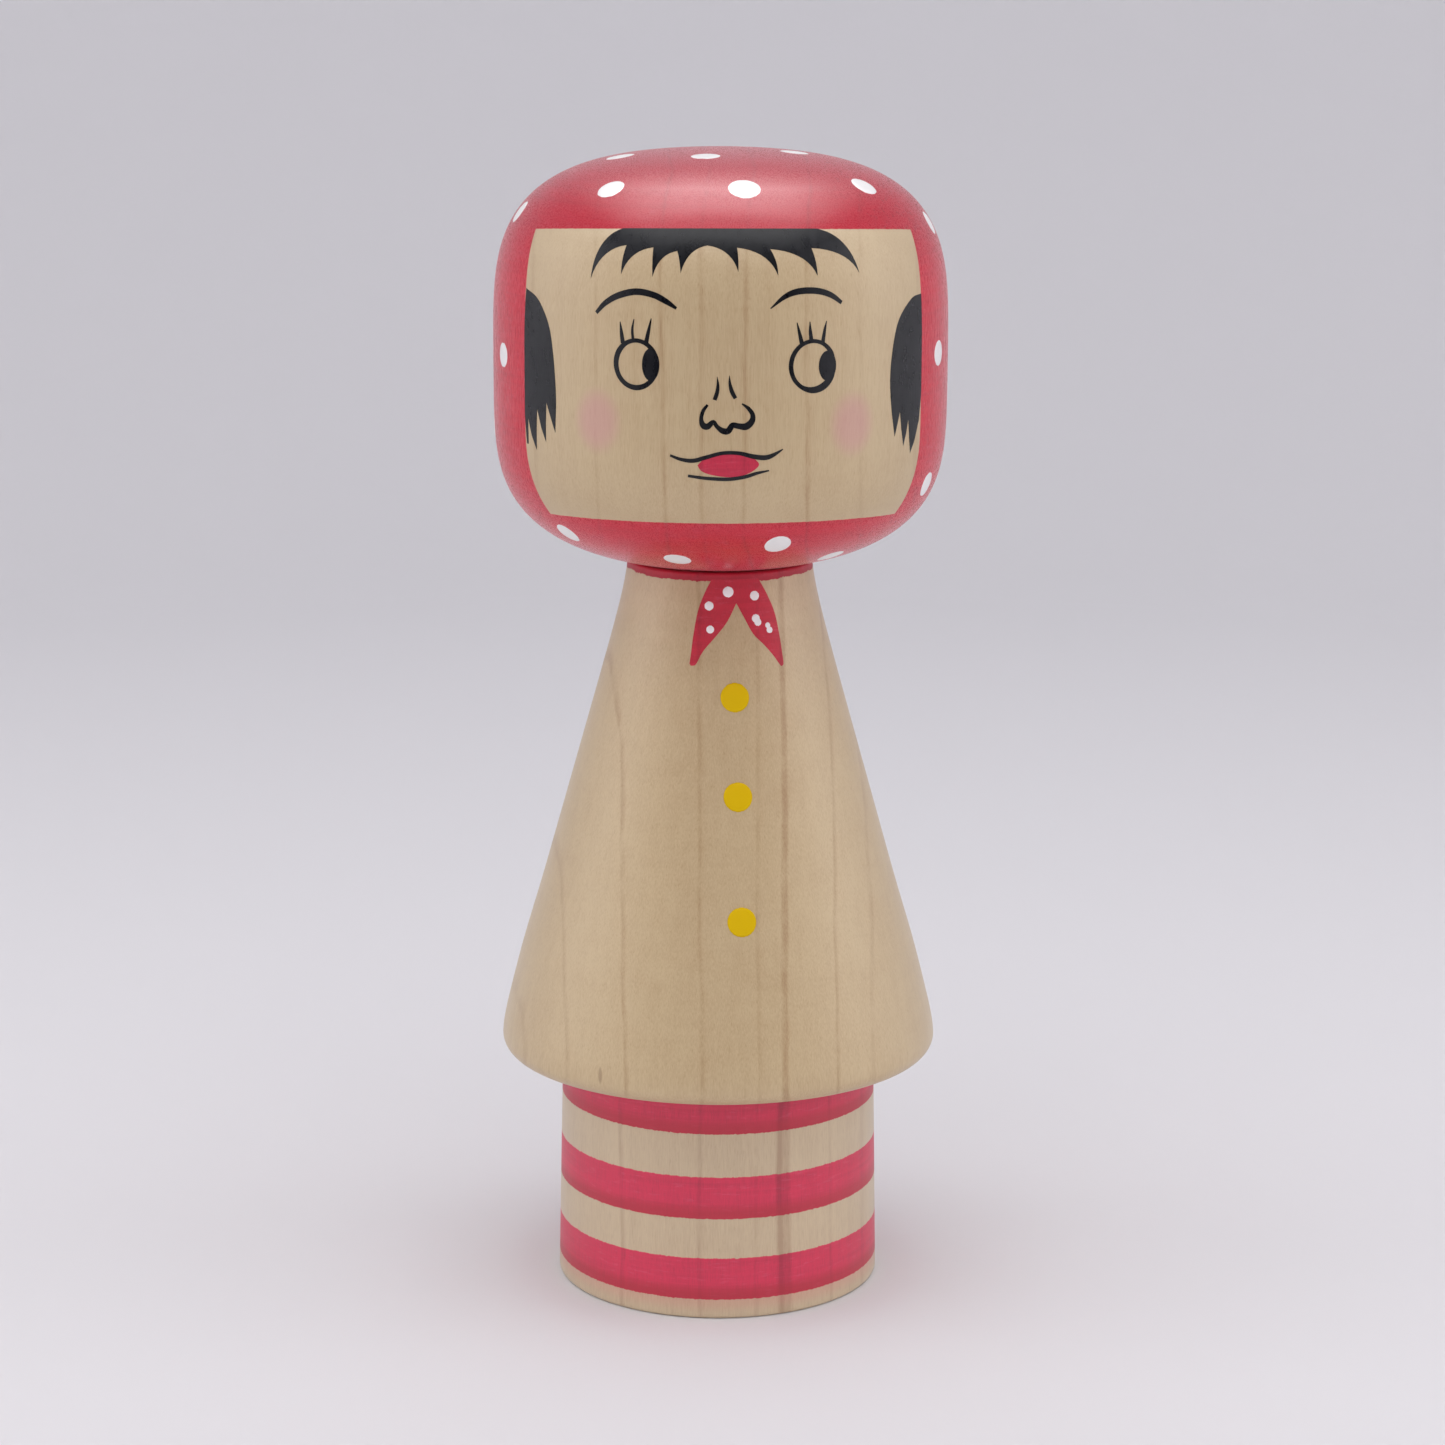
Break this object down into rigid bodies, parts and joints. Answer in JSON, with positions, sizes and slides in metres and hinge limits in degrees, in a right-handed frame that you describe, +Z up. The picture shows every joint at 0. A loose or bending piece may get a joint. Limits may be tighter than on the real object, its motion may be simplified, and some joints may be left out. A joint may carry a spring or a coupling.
{
  "type": "kokeshi doll",
  "caption": "Turned wooden doll with a round drum head that turns on a snap-fit tenon, a flared dress and striped post legs.",
  "frame": {"origin": "centre of the base's underside, on the turning axis", "axes": "+Z up along the turning axis, -Y the way the painted face looks, +X to the right of someone who faces the doll"},
  "size_m": [0.0588, 0.0588, 0.15],
  "materials": {
    "bare_wood": "waxed satin, fine straight grain",
    "hood_red": "water-based red dye under wax, satin, the grain shows through",
    "hair_black": "black ink under wax, satin",
    "dot_white": "thick opaque white paint, satin",
    "button_yellow": "thick opaque yellow paint, satin"
  },
  "bodies": {
    "body": {"body": "bare_wood"},
    "head": {"head": "hood_red"}
  },
  "joints": [
    {"name": "head_turn", "type": "hinge", "parent": "body", "child": "head", "pos_m": [0, 0, 0.0971], "axis": [0, 0, 1], "continuous": true}
  ]
}
